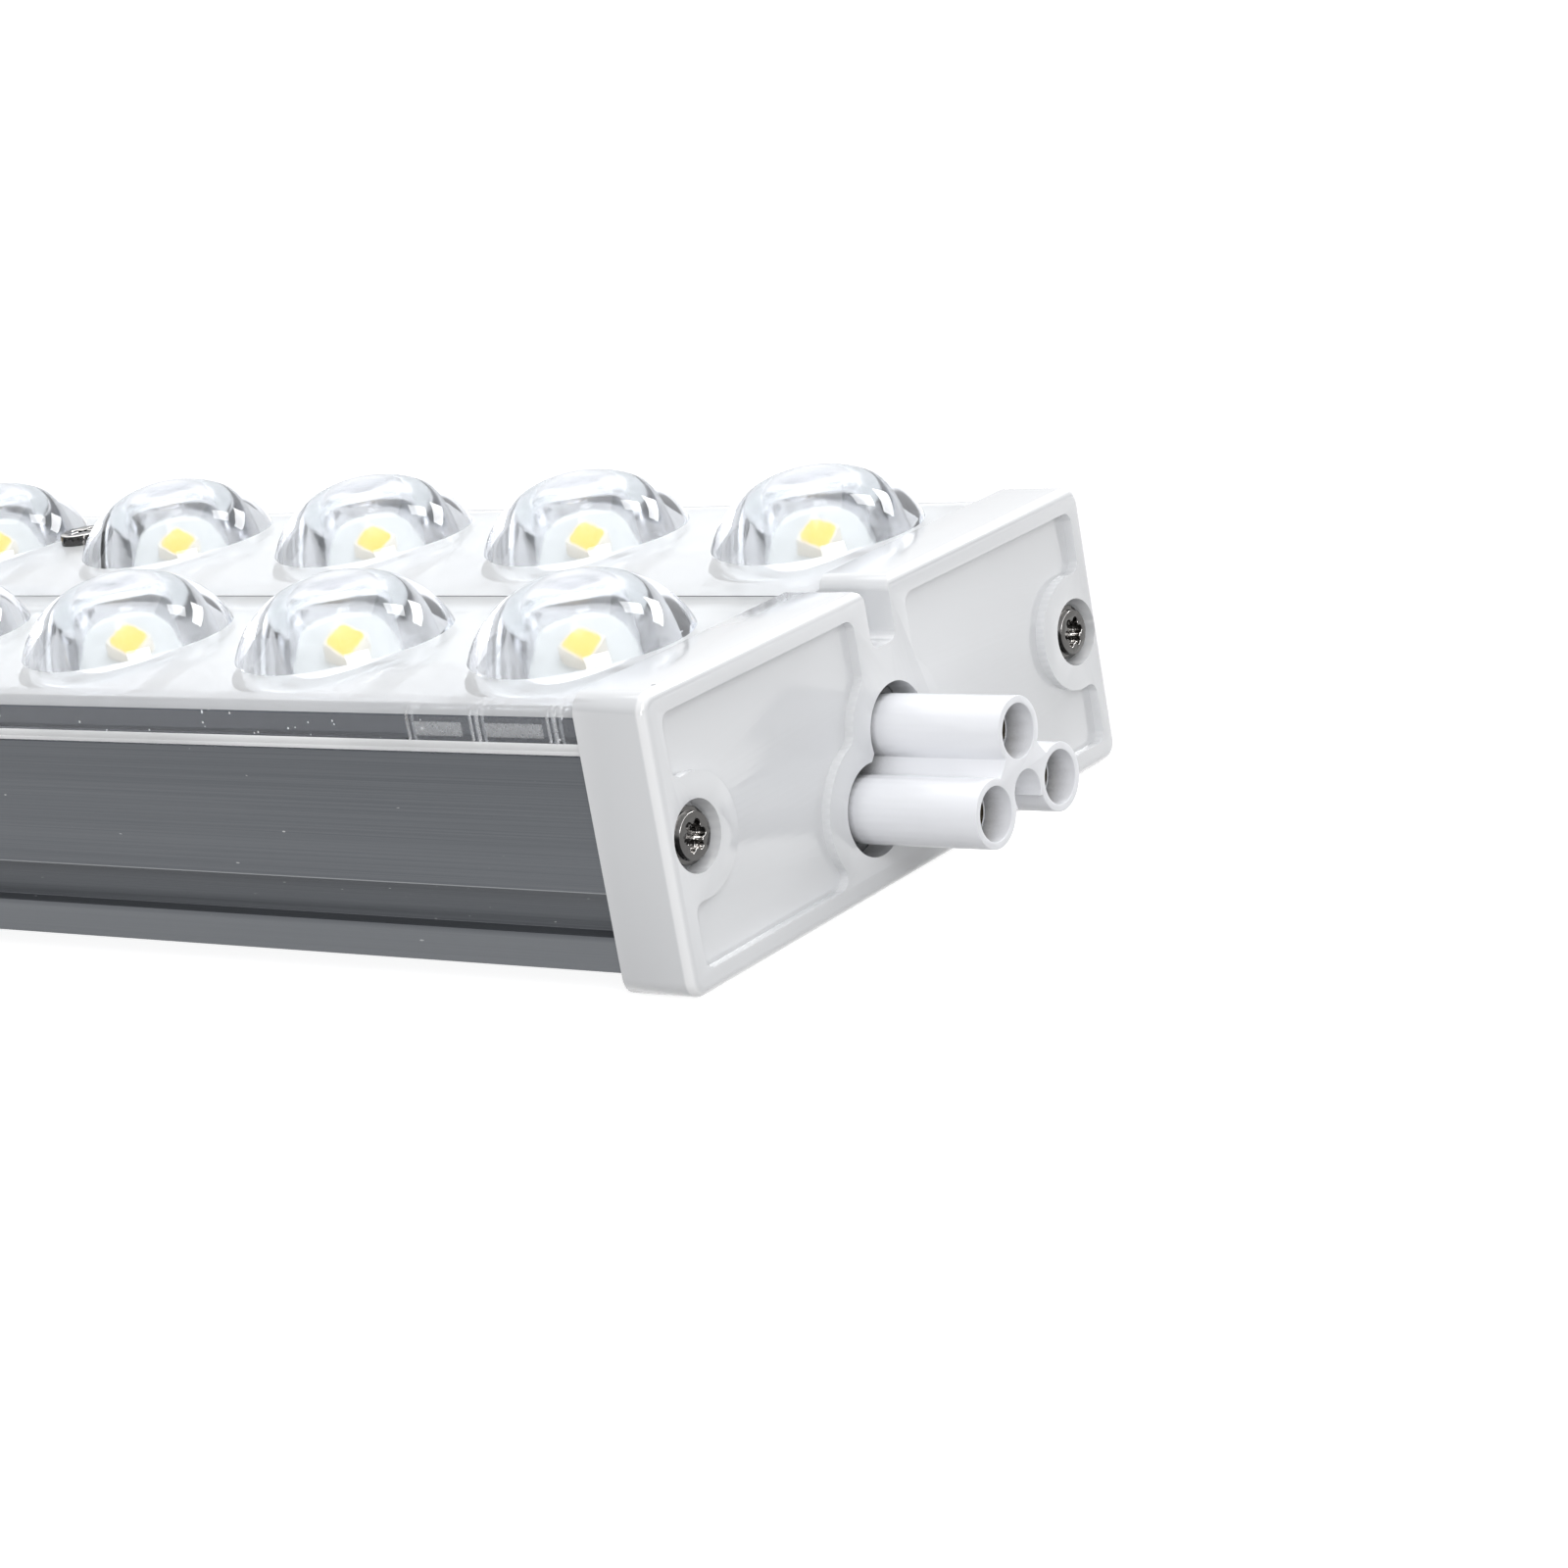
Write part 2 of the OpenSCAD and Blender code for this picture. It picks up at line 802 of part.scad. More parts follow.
module earth_screw() {
    head_height = 1.6;
    color("silver") translate([earth_x, 0, floor_z + 0.7]) difference() {
        union() {
            translate([0, 0, -1.9]) cylinder(h = 2, r = earth_r);
            cylinder(h = head_height, r = 2.6);
        }
        translate([0, 0, head_height / 2]) cross_recess(3.2, 0.6);
    }
}

// ---- Mounting clips ----

// A spring-steel strap under the extrusion whose two arms hook into the clip grooves.
module clip_outline() {
    gap = 0.15;
    inner = rail_y + gap;
    hook_z = groove_z + gap;
    hook_l = 0.9;
    bend = 1.2;
    difference() {
        round_rect(-inner - clip_t, 0, inner + clip_t, 12, bend);
        round_rect(-inner, clip_t, inner, 14, bend - clip_t + 0.1);
        translate([-cap_w, hook_z + clip_t]) square([2 * cap_w, 14]);
    }
    both_sides() translate([inner - hook_l, hook_z]) {
        square([hook_l + e, clip_t]);
        translate([0, clip_t / 2]) circle(clip_t / 2);
    }
}

module mounting_clip(x) {
    difference() {
        along_x(x - clip_l / 2, x + clip_l / 2) clip_outline();
        for (side = [-1, 1]) translate([x, side * clip_hole_span / 2, -1]) {
            cylinder(h = 4, r = clip_hole_r);
        }
    }
}

module mounting_clip_a() {
    color("gainsboro") mounting_clip(clip_a_x);
}

module mounting_clip_b() {
    color("gainsboro") mounting_clip(clip_b_x);
}

body_extrusion();
end_cap_outlet();
end_cap_inlet();
lens_strip_near();
lens_strip_far();
led_board_near();
led_board_far();
led_packages_near();
led_packages_far();
led_phosphors_near();
led_phosphors_far();
thermal_pad_near();
thermal_pad_far();
lens_fixing_screws();
board_link();
outlet_connector_body();
outlet_contacts();
inlet_connector_body();
inlet_pins();
end_screws_outlet();
end_screws_inlet();
driver_board();
driver_transformer();
driver_capacitors();
driver_choke();
driver_rectifier();
driver_fuse();
driver_switch_chip();
driver_terminals();
insulator_sheet();
live_wire();
neutral_wire();
earth_wire();
led_lead_positive();
led_lead_negative();
earth_terminal_ring();
earth_screw();
mounting_clip_a();
mounting_clip_b();
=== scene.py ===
"""A linkable LED light bar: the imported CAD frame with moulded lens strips, finishes, light and camera."""

import json
import math

import bmesh
import bpy
from mathutils import Matrix, Vector


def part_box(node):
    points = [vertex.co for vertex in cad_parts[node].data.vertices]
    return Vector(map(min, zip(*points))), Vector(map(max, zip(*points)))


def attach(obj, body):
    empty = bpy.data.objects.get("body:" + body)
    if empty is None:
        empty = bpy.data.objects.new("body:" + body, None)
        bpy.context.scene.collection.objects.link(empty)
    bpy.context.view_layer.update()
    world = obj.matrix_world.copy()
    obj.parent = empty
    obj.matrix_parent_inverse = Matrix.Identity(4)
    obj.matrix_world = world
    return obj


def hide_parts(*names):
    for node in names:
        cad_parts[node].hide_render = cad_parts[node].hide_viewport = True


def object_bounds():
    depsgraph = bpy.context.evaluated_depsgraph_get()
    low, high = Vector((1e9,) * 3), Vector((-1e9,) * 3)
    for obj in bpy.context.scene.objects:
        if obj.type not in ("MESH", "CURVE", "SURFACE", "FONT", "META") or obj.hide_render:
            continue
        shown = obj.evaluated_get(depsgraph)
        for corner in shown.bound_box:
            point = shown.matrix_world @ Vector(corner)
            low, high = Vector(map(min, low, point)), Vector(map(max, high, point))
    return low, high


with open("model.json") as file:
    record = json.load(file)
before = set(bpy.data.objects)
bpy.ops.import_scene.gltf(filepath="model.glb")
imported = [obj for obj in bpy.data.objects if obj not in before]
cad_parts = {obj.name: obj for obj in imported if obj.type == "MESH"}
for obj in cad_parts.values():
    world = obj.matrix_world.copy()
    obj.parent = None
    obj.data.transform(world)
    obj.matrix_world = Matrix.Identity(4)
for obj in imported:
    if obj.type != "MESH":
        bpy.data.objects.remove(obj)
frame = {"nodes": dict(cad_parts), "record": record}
cad_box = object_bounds()

MM = 0.001
BODY = "light_bar"

# ---- Lens strip sizes, in millimetres ----
LENS_PITCH = 25.0
DOME_WIDE = 9.45
DOME_TALL = 7.9
DOME_RINGS = 24
RIDGE_H = 0.9
RIDGE_REACH = 12.6
PLATE_RINGS = 8
CAVITY_R = 5.0
CAVITY_H = 6.6
CAVITY_SQUARE = 3.5
CAVITY_RINGS = 18
PLATE_T = 1.7
EDGE_R = 1.0
SKIRT_T = 1.2
GROOVE_IN = 2.5
GROOVE_UP = 1.1
# The gate marks' edges below the plate's top, and the lip along the skirt's foot. Its profile goes through
# points given as a share of LIP_OUT, and a distance below the lip's top or above its foot.
PATCH_TOP = 1.3
PATCH_LOW = 2.4
LIP_OUT = 0.18
LIP_H = 0.95
LIP_FILLET = 0.12
LIP_UPPER = ((0.6, 0.0), (1.0, 0.15))
LIP_LOWER = ((1.0, 0.5), (0.75, 0.36), (1.0, 0.24), (0.8, 0.06))
# Distances from the cap's outer face of the thin ribs and the rough gate marks on the skirt.
RIBS_AT = (23.6, 17.2, 16.5, 9.6, 8.9)
RIB_W = 0.3
RIB_SLOPE = 0.1
RIB_OUT = 0.12
PATCHES_AT = ((22.9, 18.2), (15.8, 10.2))
SIDE_SEGMENTS = 22
CREASE = math.radians(32)
# Materials of a strip's faces, and the lengthwise rows of the skirt that they are on.
CLEAR, RIPPLED, MILKY, LIP, SEAM_SHADE, HOLLOW, SKIRT = range(7)
EDGE_ROWS = 5
PATCH_ROW = 7
LIP_ROWS = (10, 16)


# ---- Node graphs ----


class Graph:
    """Short calls for building a shader node tree."""

    def __init__(self, tree):
        self.tree = tree
        self.tree.nodes.clear()

    def put(self, socket, value):
        if isinstance(value, bpy.types.NodeSocket):
            self.tree.links.new(value, socket)
        else:
            socket.default_value = value

    def add(self, kind, sockets=None, out=0, **settings):
        node = self.tree.nodes.new("ShaderNode" + kind)
        for key, value in settings.items():
            setattr(node, key, value)
        for key, value in (sockets or {}).items():
            self.put(node.inputs[key], value)
        return node.outputs[out]

    def math(self, operation, *values):
        return self.add("Math", dict(enumerate(values)), operation=operation)

    def ramp(self, value, low, high, low_out=0.0, high_out=1.0):
        """Maps value smoothly from low..high to low_out..high_out."""
        sockets = {"Value": value, "From Min": low, "From Max": high, "To Min": low_out, "To Max": high_out}
        return self.add("MapRange", sockets, interpolation_type="SMOOTHSTEP")

    def place(self, scale):
        """Object coordinates, in metres, multiplied by scale along each axis."""
        where = self.add("TexCoord", out="Object")
        return self.add("VectorMath", {0: where, 1: scale}, operation="MULTIPLY")

    def noise(self, scale, detail=3.0, rough=0.55):
        """Noise of the given features per metre, a number or one for each axis."""
        if isinstance(scale, (int, float)):
            scale = (scale, scale, scale)
        sockets = {"Vector": self.place(scale), "Scale": 1.0, "Detail": detail, "Roughness": rough}
        return self.add("TexNoise", sockets, out="Fac")

    def specks(self, scale, share, size=0.25):
        """Small round dots: 1 inside a dot, 0 outside; about share of the cells hold one."""
        where = self.place((scale, scale, scale))
        cell = {"Vector": where, "Scale": 1.0}
        near = self.add("TexVoronoi", cell, out="Distance")
        pick = self.add("SeparateColor", {"Color": self.add("TexVoronoi", cell, out="Color")})
        dot = self.math("LESS_THAN", near, size)
        return self.math("MULTIPLY", dot, self.math("LESS_THAN", pick, share))

    def tint(self, fac, low, high):
        """A colour between low and high."""
        sockets = {0: fac, 6: (*low, 1.0), 7: (*high, 1.0)}
        return self.add("Mix", sockets, out=2, data_type="RGBA")

    def over(self, fac, under, colour):
        """Colour laid over another colour where fac is 1."""
        sockets = {0: fac, 6: under, 7: (*colour, 1.0)}
        return self.add("Mix", sockets, out=2, data_type="RGBA")

    def bump(self, height, strength, depth):
        return self.add("Bump", {"Height": height, "Strength": strength, "Distance": depth}, out="Normal")

    def surface(self, **sockets):
        """A principled surface wired to the output. Keys are socket names with _ for a space."""
        shader = self.add("BsdfPrincipled", {k.replace("_", " "): v for k, v in sockets.items()})
        self.output(shader)
        return shader

    def output(self, shader):
        end = self.tree.nodes.new("ShaderNodeOutputMaterial")
        self.tree.links.new(shader, end.inputs["Surface"])


def new_material(name):
    material = bpy.data.materials.new(name)
    material.use_nodes = True
    return material, Graph(material.node_tree)


def shade(colour, amount):
    return tuple(min(1.0, max(0.0, c * amount)) for c in colour)


def moulding(
    name, colour, rough, vary=0.03, grain=1400.0, depth=0.012, specks=0.0, coat=0.0, rim_highlight=0.0, hole_shade=0.0,
):
    """Moulded plastic: slow flow shading, fine grain, a few specks, uneven gloss.

    The rim highlight setting is how much paler the plastic is painted on the rounded edges round faces that
    look along the bar: a painted highlight.
    The hole shade setting is how much darker the colour is painted deep in narrow holes, where ambient
    occlusion finds them: a painted shade.
    """
    material, g = new_material(name)
    flow = g.noise(45.0, 2.0)
    fine = g.noise(grain, 2.0)
    body = g.tint(g.ramp(flow, 0.3, 0.7), shade(colour, 1 - vary), shade(colour, 1 + vary))
    if specks:
        body = g.over(g.specks(420.0, specks, 0.08), body, shade(colour, 0.4))
    # Painted highlight: the colour turns paler on rounded edges whose normal lies partly along the bar.
    if rim_highlight:
        normal_x = g.add("SeparateXYZ", {0: g.add("TexCoord", out="Normal")}, out="X")
        facing = g.math("ABSOLUTE", normal_x)
        turning = g.math("MULTIPLY", g.ramp(facing, 0.08, 0.3), g.ramp(facing, 0.75, 0.97, 1.0, 0.0))
        body = g.over(g.math("MULTIPLY", turning, rim_highlight), body, (1.0, 1.0, 1.0))
    # Painted shade: the colour darkens where ambient occlusion finds narrow holes.
    if hole_shade:
        open_share = g.add("AmbientOcclusion", {"Distance": 5 * MM}, out="AO", samples=8)
        body = g.over(g.ramp(open_share, 0.05, 0.4, hole_shade, 0.0), body, shade(colour, 0.04))
    gloss = g.ramp(g.noise(160.0, 4.0), 0.3, 0.75, rough * 0.85, rough * 1.2)
    normal = g.bump(fine, 0.25, depth * MM)
    g.surface(
        Base_Color=body, Roughness=gloss, Normal=normal, Coat_Weight=coat, Coat_Roughness=0.12, IOR=1.5,
    )
    return material


def rubber(name, colour):
    """Soft insulation with a dull, slightly waxy skin and scuffs along it."""
    material, g = new_material(name)
    scuff = g.ramp(g.noise((90.0, 900.0, 900.0), 3.0), 0.55, 0.75)
    body = g.tint(scuff, colour, tuple(c * 0.8 + 0.12 for c in colour))
    rough = g.ramp(g.noise(500.0), 0.3, 0.7, 0.42, 0.58)
    g.surface(Base_Color=body, Roughness=rough, Normal=g.bump(g.noise(2500.0), 0.2, 0.02 * MM))
    return material


def metal(name, colour, rough, lines=(900.0, 900.0, 900.0), depth=0.01, dirt=0.1, dark=1.0):
    """Bare or plated metal with fine marks and slightly dulled patches.

    Dark is the share of the colour left where the surface mirrors what is low down or level with it: a
    painted reflection of darker surroundings.
    """
    material, g = new_material(name)
    marks = g.noise(lines, 3.0, 0.6)
    patches = g.ramp(g.noise(260.0, 3.0), 0.45, 0.75)
    body = g.tint(patches, colour, shade(colour, 1 - dirt))
    # Painted reflection: the colour darkens where the reflected direction points low or level.
    if dark < 1:
        mirrored = g.add("SeparateXYZ", {0: g.add("TexCoord", out="Reflection")}, out="Z")
        body = g.over(g.ramp(mirrored, 0.1, 0.6, 1.0, 0.0), body, shade(colour, dark))
    gloss = g.ramp(marks, 0.3, 0.7, rough * 0.7, rough * 1.5)
    g.surface(
        Base_Color=body, Metallic=1.0, Roughness=gloss, Normal=g.bump(marks, 0.3, depth * MM),
    )
    return material


# Heights of the painted highlight line along the ridge over the side groove, and of the sill under it,
# painted lighter as if it caught more light, in millimetres.
RIDGE_HIGHLIGHT_Z = 8.14
SILL_LIGHT_Z = 4.2


def drawn_aluminium(name):
    """Dull grey extrusion with die lines along it, faint clouds, tiny bright nicks, a painted highlight
    line along the ridge and a painted light band on the sill.
    """
    material, g = new_material(name)
    fine = g.noise((14.0, 7500.0, 7500.0), 3.0, 0.65)
    broad = g.noise((3.0, 900.0, 900.0), 2.0)
    cloud = g.noise((30.0, 160.0, 160.0), 3.0)
    mixed = g.math("ADD", g.math("MULTIPLY", fine, 0.85), g.math("MULTIPLY", broad, 0.15))
    lines = g.ramp(mixed, 0.34, 0.66)
    body = g.tint(lines, (0.092, 0.098, 0.107), (0.122, 0.129, 0.139))
    body = g.over(g.math("MULTIPLY", g.ramp(cloud, 0.5, 0.85), 0.25), body, (0.135, 0.14, 0.147))
    nicks = g.noise((700.0, 2400.0, 2400.0), 1.0)
    body = g.over(g.ramp(nicks, 0.76, 0.8), body, (0.4, 0.4, 0.4))
    height = g.add("SeparateXYZ", {0: g.add("TexCoord", out="Object")}, out="Z")
    # Painted highlight: a thin lighter line along the ridge over the side groove.
    off_ridge = g.math("ABSOLUTE", g.math("SUBTRACT", height, RIDGE_HIGHLIGHT_Z * MM))
    body = g.over(g.ramp(off_ridge, 0.02 * MM, 0.08 * MM, 0.8, 0.0), body, (0.3, 0.31, 0.32))
    # Painted light: the band below the sill height is painted lighter, as if it caught more light.
    sill_light = g.ramp(height, SILL_LIGHT_Z * MM, (SILL_LIGHT_Z + 0.3) * MM, 0.35, 0.0)
    body = g.over(sill_light, body, (0.2, 0.21, 0.22))
    gloss = g.ramp(fine, 0.3, 0.7, 0.34, 0.5)
    g.surface(
        Base_Color=body, Metallic=0.75, Roughness=gloss, Normal=g.bump(mixed, 0.35, 0.02 * MM),
        Anisotropic=0.4,
    )
    return material


LENS_IOR = 1.586
LENS_TINT = (0.975, 0.982, 0.995, 1.0)
MILK_TINT = (0.97, 0.973, 0.975, 1.0)
SHADOW_TINT = (0.9, 0.91, 0.92, 1.0)


def acrylic(name, rough, milk=0.0, bleed=0.5, wave=0.02, ripples=900.0, tint=LENS_TINT, dust=0.0):
    """Clear moulded lens plastic.

    Milk is the share of it that looks milky, bleed how much of the milk is lit through, and dust the
    share of the surface's cells with a white fleck. Light passes straight through the plastic for
    shadows, so what is under it stays lit.
    """
    material, g = new_material(name)
    slow = g.noise(170.0, 2.0)
    fine = g.noise(ripples, 2.0)
    height = g.math("ADD", slow, g.math("MULTIPLY", fine, 0.12))
    normal = g.bump(height, 0.35, wave * MM)
    gloss = g.ramp(fine, 0.35, 0.7, rough, rough * 1.6 + 0.004)
    sockets = {"Color": tint, "Roughness": gloss, "IOR": LENS_IOR, "Normal": normal}
    clear = g.add("BsdfGlass", sockets)
    if milk:
        white = g.add("BsdfDiffuse", {"Color": MILK_TINT, "Normal": normal})
        bled = g.add("BsdfTranslucent", {"Color": MILK_TINT, "Normal": normal})
        cloudy = g.add("MixShader", {0: bleed, 1: white, 2: bled})
        cloud = g.ramp(g.noise(60.0, 2.0), 0.3, 0.7, milk * 0.9, min(1.0, milk * 1.1))
        clear = g.add("MixShader", {0: cloud, 1: clear, 2: cloudy})
    if dust:
        fleck = g.add("BsdfDiffuse", {"Color": MILK_TINT})
        clear = g.add("MixShader", {0: g.specks(2200.0, dust, 0.22), 1: clear, 2: fleck})
    through = g.add("BsdfTransparent", {"Color": SHADOW_TINT})
    is_shadow = g.add("LightPath", out="Is Shadow Ray")
    g.output(g.add("MixShader", {0: is_shadow, 1: clear, 2: through}))
    return material


def phosphor(name):
    """Yellow phosphor grains in clear resin, with a faint painted glow."""
    material, g = new_material(name)
    grains = g.noise(5200.0, 2.0)
    body = g.tint(g.ramp(grains, 0.3, 0.7), (0.8, 0.48, 0.06), (0.84, 0.56, 0.13))
    # The emission is a painted glow: the phosphor is no lamp.
    g.surface(
        Base_Color=body, Roughness=0.35, Normal=g.bump(grains, 0.4, 0.02 * MM), Emission_Color=body,
        Emission_Strength=0.08,
    )
    return material


def laminate(name, colour, weave):
    """Solder mask over a woven board, with faint darker tracks."""
    material, g = new_material(name)
    cloth = g.add("TexWave", {"Vector": g.place((weave, weave, weave)), "Scale": 1.0}, out="Fac")
    track = g.ramp(g.noise((60.0, 420.0, 420.0), 0.0), 0.56, 0.6)
    body = g.tint(track, shade(colour, 0.96), shade(colour, 1.05))
    body = g.over(g.math("MULTIPLY", cloth, 0.08), body, shade(colour, 0.8))
    rough = g.ramp(g.noise(600.0), 0.3, 0.7, 0.28, 0.42)
    g.surface(Base_Color=body, Roughness=rough, Normal=g.bump(track, 0.3, 0.03 * MM))
    return material


def striped_insulation(name, green, yellow):
    """Green insulation with a lengthwise yellow stripe."""
    material, g = new_material(name)
    stripe = g.ramp(g.noise((3.0, 420.0, 420.0), 0.0), 0.5, 0.54)
    body = g.tint(stripe, green, yellow)
    g.surface(Base_Color=body, Roughness=0.45, Normal=g.bump(g.noise(2500.0), 0.2, 0.02 * MM))
    return material


def build_finishes():
    """One material for each slot of the record."""
    wires = {
        "live_insulation": (0.2, 0.08, 0.03),
        "neutral_insulation": (0.03, 0.12, 0.5),
        "red_insulation": (0.5, 0.02, 0.02),
        "black_insulation": (0.02, 0.02, 0.02),
    }
    made = {name: rubber(name, colour) for name, colour in wires.items()}
    made["anodised_aluminium"] = drawn_aluminium("anodised_aluminium")
    made["cap_plastic"] = moulding(
        "cap_plastic", (0.665, 0.675, 0.69), 0.16, 0.012, 1500.0, 0.008, specks=0.03, coat=1.0, rim_highlight=0.5,
    )
    made["socket_plastic"] = moulding(
        "socket_plastic", (0.83, 0.84, 0.87), 0.14, 0.012, 900.0, 0.006, hole_shade=0.95,
    )
    made["clear_lens"] = acrylic("clear_lens", 0.004)
    made["white_board"] = moulding("white_board", (0.56, 0.575, 0.56), 0.4, 0.03, 2600.0, 0.02)
    made["led_package"] = moulding("led_package", (0.7, 0.66, 0.58), 0.35, 0.03, 3000.0, 0.01)
    made["phosphor"] = phosphor("phosphor")
    made["thermal_pad"] = moulding("thermal_pad", (0.5, 0.51, 0.52), 0.7, 0.06, 1800.0, 0.05)
    made["nickel_screw"] = metal(
        "nickel_screw", (0.82, 0.8, 0.78), 0.08, (1500.0, 1500.0, 1500.0), 0.05, dark=0.1,
    )
    made["plated_pin"] = metal("plated_pin", (0.75, 0.75, 0.76), 0.14, (300.0, 4000.0, 4000.0))
    made["contact_brass"] = metal("contact_brass", (0.4, 0.32, 0.2), 0.25, dark=0.15)
    made["choke_copper"] = metal("choke_copper", (0.6, 0.25, 0.12), 0.3, (300.0, 300.0, 5000.0), 0.05)
    made["fuse_metal"] = metal("fuse_metal", (0.6, 0.6, 0.6), 0.22, (4000.0, 400.0, 400.0))
    made["spring_steel"] = metal(
        "spring_steel", (0.36, 0.36, 0.365), 0.3, (60.0, 2600.0, 2600.0), 0.01, dark=0.7,
    )
    made["driver_laminate"] = laminate("driver_laminate", (0.03, 0.16, 0.07), 5000.0)
    made["transformer_tape"] = moulding("transformer_tape", (0.75, 0.5, 0.06), 0.25, 0.08)
    made["capacitor_sleeve"] = moulding("capacitor_sleeve", (0.03, 0.04, 0.08), 0.22, 0.1)
    made["black_epoxy"] = moulding("black_epoxy", (0.03, 0.03, 0.033), 0.55, 0.1, 3000.0, 0.03)
    made["terminal_plastic"] = moulding("terminal_plastic", (0.05, 0.3, 0.14), 0.35, 0.05)
    made["insulator_film"] = moulding("insulator_film", (0.8, 0.72, 0.5), 0.4, 0.04)
    made["earth_insulation"] = striped_insulation("earth_insulation", (0.06, 0.3, 0.04), (0.75, 0.7, 0.05))
    return made


finishes = build_finishes()
rippled = acrylic("clear_lens_rippled", 0.2, milk=0.22, bleed=0.2, wave=1.2, ripples=1500.0)
milky = acrylic("clear_lens_satin", 0.05, milk=0.52)
# The lip is milky white: partly a frosted edge, partly a painted glint standing in for light led along the
# plastic to its foot.
lip_frost_and_glint = acrylic("clear_lens_lip", 0.1, milk=0.9, bleed=0.1)
# The seam walls are near black: a painted shade for the narrow gap between the two strips.
seam_shade = moulding("clear_lens_cut", (0.05, 0.055, 0.06), 0.5, 0.1)
# The skirt's clear plastic is tinted grey: a painted shade that darkens what is seen through it.
skirt = acrylic("clear_lens_skirt", 0.02, tint=(0.76, 0.77, 0.79, 1.0), dust=0.05)
hollow = acrylic("clear_lens_hollow", 0.11, wave=0.4, ripples=700.0)


# ---- CAD nodes ----

# Bevel width in millimetres and angle limit in degrees for the nodes whose edges are seen up close.
EDGES = {
    "end_cap_outlet": (0.42, 35), "end_cap_inlet": (0.42, 35),
    "outlet_connector_body": (0.22, 40), "inlet_connector_body": (0.2, 40),
    "body_extrusion": (0.12, 35),
    "mounting_clip_a": (0.15, 40), "mounting_clip_b": (0.15, 40),
    "end_screws_outlet": (0.1, 40), "end_screws_inlet": (0.1, 40), "lens_fixing_screws": (0.4, 40),
}


def dress(node, slot):
    """Gives a CAD node its finish, smooth shading, and small rounded edges where they are seen."""
    piece = frame["nodes"][node]
    piece.data.materials.clear()
    piece.data.materials.append(finishes[slot])
    for polygon in piece.data.polygons:
        polygon.use_smooth = True
    weld = piece.modifiers.new("weld", "WELD")
    weld.merge_threshold = 0.002 * MM
    if node in EDGES:
        width, angle = EDGES[node]
        flat = piece.modifiers.new("flat", "DECIMATE")
        flat.decimate_type = "DISSOLVE"
        flat.angle_limit = math.radians(0.5)
        bevel = piece.modifiers.new("edges", "BEVEL")
        bevel.width = width * MM
        bevel.segments = 3
        bevel.limit_method = "ANGLE"
        bevel.angle_limit = math.radians(angle)
        bevel.miter_outer = "MITER_ARC"
        bevel.harden_normals = True
    else:
        edge = piece.modifiers.new("edges", "EDGE_SPLIT")
        edge.split_angle = math.radians(35)


for part in frame["record"]["subparts"]:
    dress(part["node"], part["material_slot"])


# ---- Lens strips ----


def lens_rows():
    """Centre of every lens along the bar, and the distance of a row from the middle, in millimetres."""
    low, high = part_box("led_packages_far")
    half = (high.y - low.y) / 2
    first, last = (high.x - half) / MM, (low.x + half) / MM
    count = round((first - last) / LENS_PITCH) + 1
    return [first - i * LENS_PITCH for i in range(count)], (high.y + low.y) / 2 / MM


def cell_rim(front, back):
    """Points round a lens cell as (x, y) about the lens, at equal steps of angle along each side."""
    half = LENS_PITCH / 2
    corners = [math.atan2(y, x) for x, y in ((half, -back), (half, front), (-half, front), (-half, -back))]
    corners.append(corners[0] + 2 * math.pi)
    corners = [a if i == 0 or a >= corners[0] else a + 2 * math.pi for i, a in enumerate(corners)]
    corners[3] = corners[3] if corners[3] > corners[2] else corners[3] + 2 * math.pi
    rim = []
    for side in range(4):
        for k in range(SIDE_SEGMENTS):
            angle = corners[side] + (corners[side + 1] - corners[side]) * k / SIDE_SEGMENTS
            c, s = math.cos(angle), math.sin(angle)
            reach = min(
                half / abs(c) if abs(c) > 1e-9 else 1e9,
                (front if s > 0 else back) / abs(s) if abs(s) > 1e-9 else 1e9,
            )
            if k == 0:
                x = half if side in (0, 1) else -half
                rim.append((x, -back if side in (0, 3) else front, angle))
            else:
                rim.append((c * reach, s * reach, angle))
    return rim


